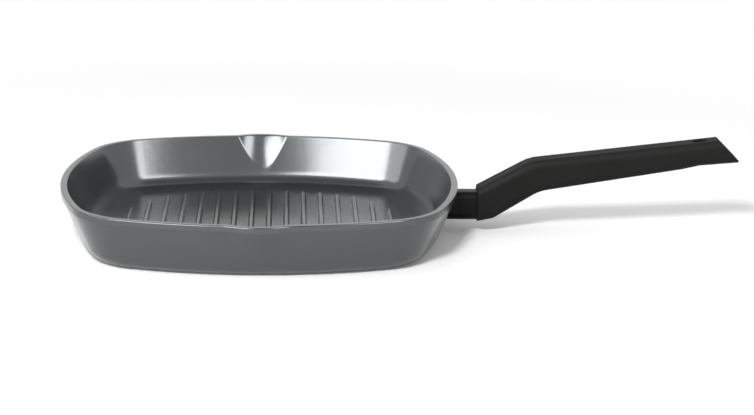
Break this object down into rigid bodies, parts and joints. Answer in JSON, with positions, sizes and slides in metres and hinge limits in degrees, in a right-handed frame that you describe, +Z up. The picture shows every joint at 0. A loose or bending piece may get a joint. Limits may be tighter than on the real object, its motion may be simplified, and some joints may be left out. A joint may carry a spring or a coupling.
{
  "type": "square grill pan",
  "caption": "Square ribbed grill pan with a bowed rim, pouring lips on two sides and a fixed angled handle with a hanging slot.",
  "frame": {"origin": "centre of the pan's flat base, on the surface that the pan stands on", "axes": "+X from the pan towards the end of the handle, +Z up, the pouring lips at +Y and -Y"},
  "size_m": [0.4803, 0.29, 0.0683],
  "materials": {
    "coated_casting": "satin",
    "base_steel": "satin",
    "black_metal": "satin",
    "black_moulding": "matte",
    "zinc_steel": "satin"
  },
  "bodies": {
    "root": {"pan_body": "coated_casting", "base_plate": "base_steel", "neck_sleeve": "black_metal", "handle": "black_moulding", "handle_screw": "zinc_steel", "spring_washer": "zinc_steel"}
  },
  "joints": []
}
